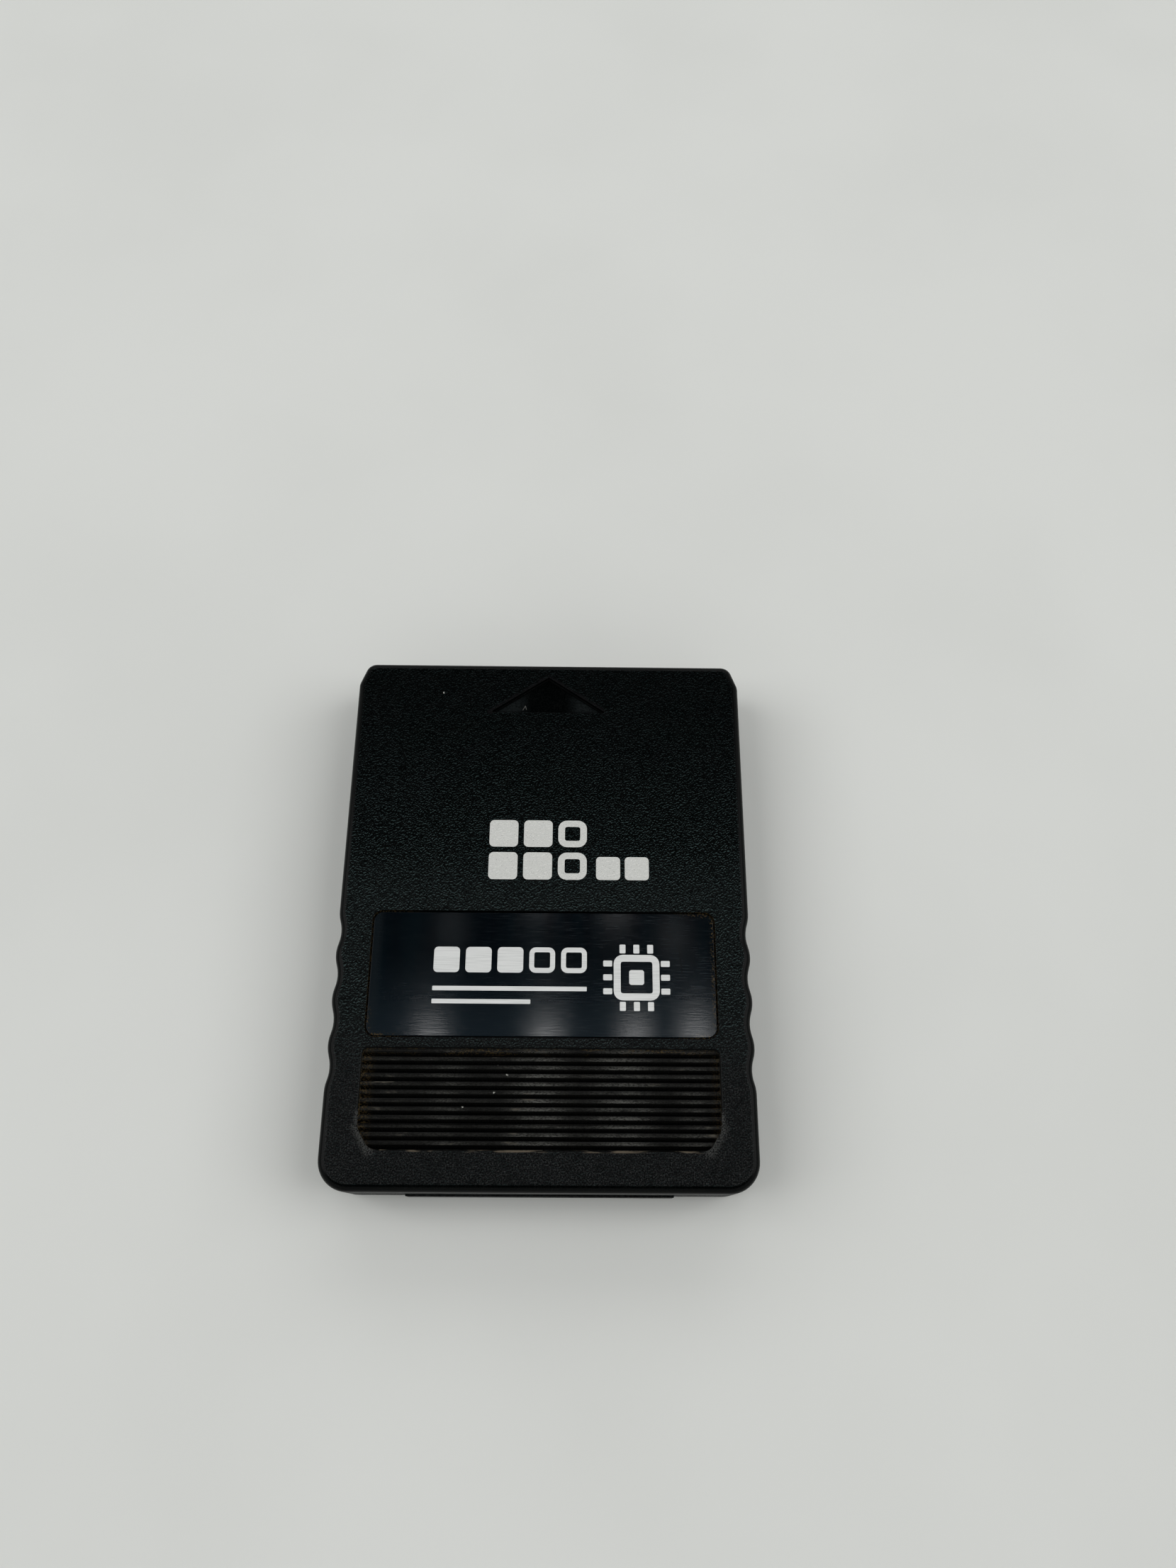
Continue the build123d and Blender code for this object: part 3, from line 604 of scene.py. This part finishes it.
def one_print(name, blocks, ink):
    """Joins the blocks of one print into a piece and inks it."""
    bpy.ops.object.select_all(action="DESELECT")
    for block in blocks:
        block.select_set(True)
    bpy.context.view_layer.objects.active = blocks[0]
    bpy.ops.object.join()
    blocks[0].name = name
    blocks[0].data.materials.clear()
    blocks[0].data.materials.append(ink)
    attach(blocks[0], "root")


lid_ink, tree, shader, place, axes = new_finish("lid_ink")
grain = put(grain_and_lit_slopes, tree, Place=place, Fineness=grain_fineness)
flecks = clouds(tree, place, 9.0, 2.0)
# Painted highlight: the ink is paler on the grain's far-facing slopes.
colour = tint(tree, grain["LitSlopes"], (0.6, 0.605, 0.58), (0.7, 0.7, 0.675))
colour = tint(tree, fade(tree, flecks, 0.6, 0.72), colour, (0.33, 0.33, 0.32))
tree.links.new(colour, shader.inputs["Base Color"])
tree.links.new(fade(tree, grain["Height"], -1.6, 2.0), shader.inputs["Roughness"])
bump = finish_node(tree, "Bump", {"Height": grain["Height"], "Strength": 0.6, "Distance": 0.00003})
tree.links.new(bump.outputs[0], shader.inputs["Normal"])
shader.inputs["Specular IOR Level"].default_value = 0.3

lid_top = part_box("upper_shell")[1].z
large_block = (0.003, 0.00295)
small_block = (0.0025, 0.0025)
open_line = 0.0007
blocks = []
for column in range(3):
    for row in range(2):
        x = -0.00437 + 0.0036 * column
        y = 0.00428 + 0.00355 * row
        hollow = open_line if column == 2 else 0.0
        blocks.append(ink_block(x, y, lid_top, *large_block, hollow))
for column in range(2):
    x = 0.00655 + 0.00298 * column
    blocks.append(ink_block(x, 0.00406, lid_top, *small_block))
one_print("lid_print", blocks, lid_ink)

# Label print: a plain chip sign and a row of blocks over ruled lines, screened in white ink.
# It lies on the film, which is smooth, so it keeps a hard clean edge.
film_ink, tree, shader, place, axes = new_finish("film_ink")
brushed = clouds(tree, place, 1.0, 5.0, stretch=(0.3, 9.0, 1.0))
colour = tint(tree, fade(tree, brushed, 0.4, 0.8), (0.72, 0.73, 0.72), (0.55, 0.56, 0.55))
tree.links.new(colour, shader.inputs["Base Color"])
tree.links.new(fade(tree, brushed, -0.6, 3.0), shader.inputs["Roughness"])

film_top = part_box("front_label")[1].z
row_block = (0.0026, 0.0026)
row_line = 0.0005
blocks = []
for column in range(5):
    x = -0.0097 + 0.0032 * column
    hollow = row_line if column > 2 else 0.0
    blocks.append(ink_block(x, -0.0056, film_top, *row_block, hollow))
rule_height = 0.00045
blocks.append(ink_block(-0.0033, -0.0085, film_top, 0.0154, rule_height))
blocks.append(ink_block(-0.0061, -0.0098, film_top, 0.0098, rule_height))
sign_x = 0.0094
sign_y = -0.0073
sign_size = 0.0046
sign_core = 0.0015
pin_width = 0.0006
pin_length = 0.0009
pin_reach = 0.0029
blocks.append(ink_block(sign_x, sign_y, film_top, sign_size, sign_size, open_line))
blocks.append(ink_block(sign_x, sign_y, film_top, sign_core, sign_core))
for pin in (-0.0014, 0.0, 0.0014):
    for side in (-1, 1):
        reach = pin_reach * side
        blocks.append(ink_block(sign_x + pin, sign_y + reach, film_top, pin_width, pin_length))
        blocks.append(ink_block(sign_x + reach, sign_y + pin, film_top, pin_length, pin_width))
one_print("label_print", blocks, film_ink)

# Floor: a pale grey matte sheet under the card, a little darker in faint patches.
# It belongs to the room and is no piece of the card.
floor_paper, tree, shader, place, axes = new_finish("floor_paper")
patches = clouds(tree, place, 0.02, 3.0)
colour = tint(tree, fade(tree, patches, 0.35, 0.7), (0.74, 0.75, 0.725), (0.71, 0.72, 0.695))
tree.links.new(colour, shader.inputs["Base Color"])
shader.inputs["Roughness"].default_value = 0.75
shader.inputs["Specular IOR Level"].default_value = 0.2
bpy.ops.object.select_all(action="DESELECT")
bpy.ops.mesh.primitive_plane_add(size=2.4, location=(0, 0, 0))
floor = bpy.context.object
floor.name = "floor"
floor.data.materials.append(floor_paper)

# Room: pale walls that fill the shadows, under a dark ceiling.
# The ceiling keeps the flat top of the card dark when it is seen from above.
room = bpy.data.worlds.new("room")
bpy.context.scene.world = room
room.use_nodes = True
tree = room.node_tree
direction = finish_node(tree, "TexCoord").outputs["Generated"]
upward = finish_node(tree, "SeparateXYZ", {0: direction}).outputs["Z"]
walls = tint(tree, fade(tree, upward, 0.0, 0.5), (0.62, 0.63, 0.61), (0.8, 0.81, 0.8))
walls = tint(tree, fade(tree, upward, 0.45, 0.75), walls, (0.03, 0.031, 0.031))
tree.links.new(walls, tree.nodes["Background"].inputs["Color"])

# Lamps: large soft boxes at both sides and the far end light the card evenly.
# Two short rows of four small lamps overhead make the soft streaks on the label.
for lamp_name, spot, width, depth, power in (
    ("far_box", (0.0, 0.9, 0.65), 1.2, 0.4, 1.5),
    ("left_box", (-0.85, 0.05, 0.95), 0.8, 1.0, 5.9),
    ("right_box", (0.85, 0.05, 0.95), 0.8, 1.0, 6.1),
):
    bpy.ops.object.light_add(type="AREA", location=spot)
    lamp = bpy.context.object
    lamp.name = lamp_name
    lamp.data.shape = "RECTANGLE"
    lamp.data.size = width
    lamp.data.size_y = depth
    lamp.data.energy = power
    lamp.rotation_euler = (-lamp.location).to_track_quat("-Z", "Y").to_euler()
lamp_height = 0.46
lamp_width = 0.0155
for number, x, y, power in (
    (1, -0.068, 0.052, 0.011),
    (2, -0.011, 0.050, 0.0155),
    (3, 0.033, 0.055, 0.0098),
    (4, 0.063, 0.058, 0.0088),
    (5, -0.0601, 0.116, 0.0006),
    (6, -0.0165, 0.136, 0.0019),
    (7, 0.0243, 0.134, 0.0028),
    (8, 0.0532, 0.112, 0.0008),
):
    bpy.ops.object.light_add(type="AREA", location=(x, y, lamp_height))
    lamp = bpy.context.object
    lamp.name = f"small_lamp_{number}"
    lamp.data.shape = "DISK"
    lamp.data.size = lamp_width
    lamp.data.energy = power

# Camera: above the near end, looking down the card.
# Its lens is given by a focal length and a picture height in pixels.
sensor_height = 36
focal_pixels = 1598
picture_pixels = 2212
bpy.ops.object.camera_add(location=(0.003233, -0.031583, 0.120406))
camera = bpy.context.object
camera.rotation_mode = "YXZ"
camera.rotation_euler = (math.radians(21.846), math.radians(-0.775), math.radians(0.577))
camera.data.sensor_fit = "VERTICAL"
camera.data.sensor_height = sensor_height
camera.data.lens = sensor_height * focal_pixels / picture_pixels
camera.data.clip_start = 0.005
bpy.context.scene.camera = camera
bpy.context.scene.view_settings.view_transform = "Standard"
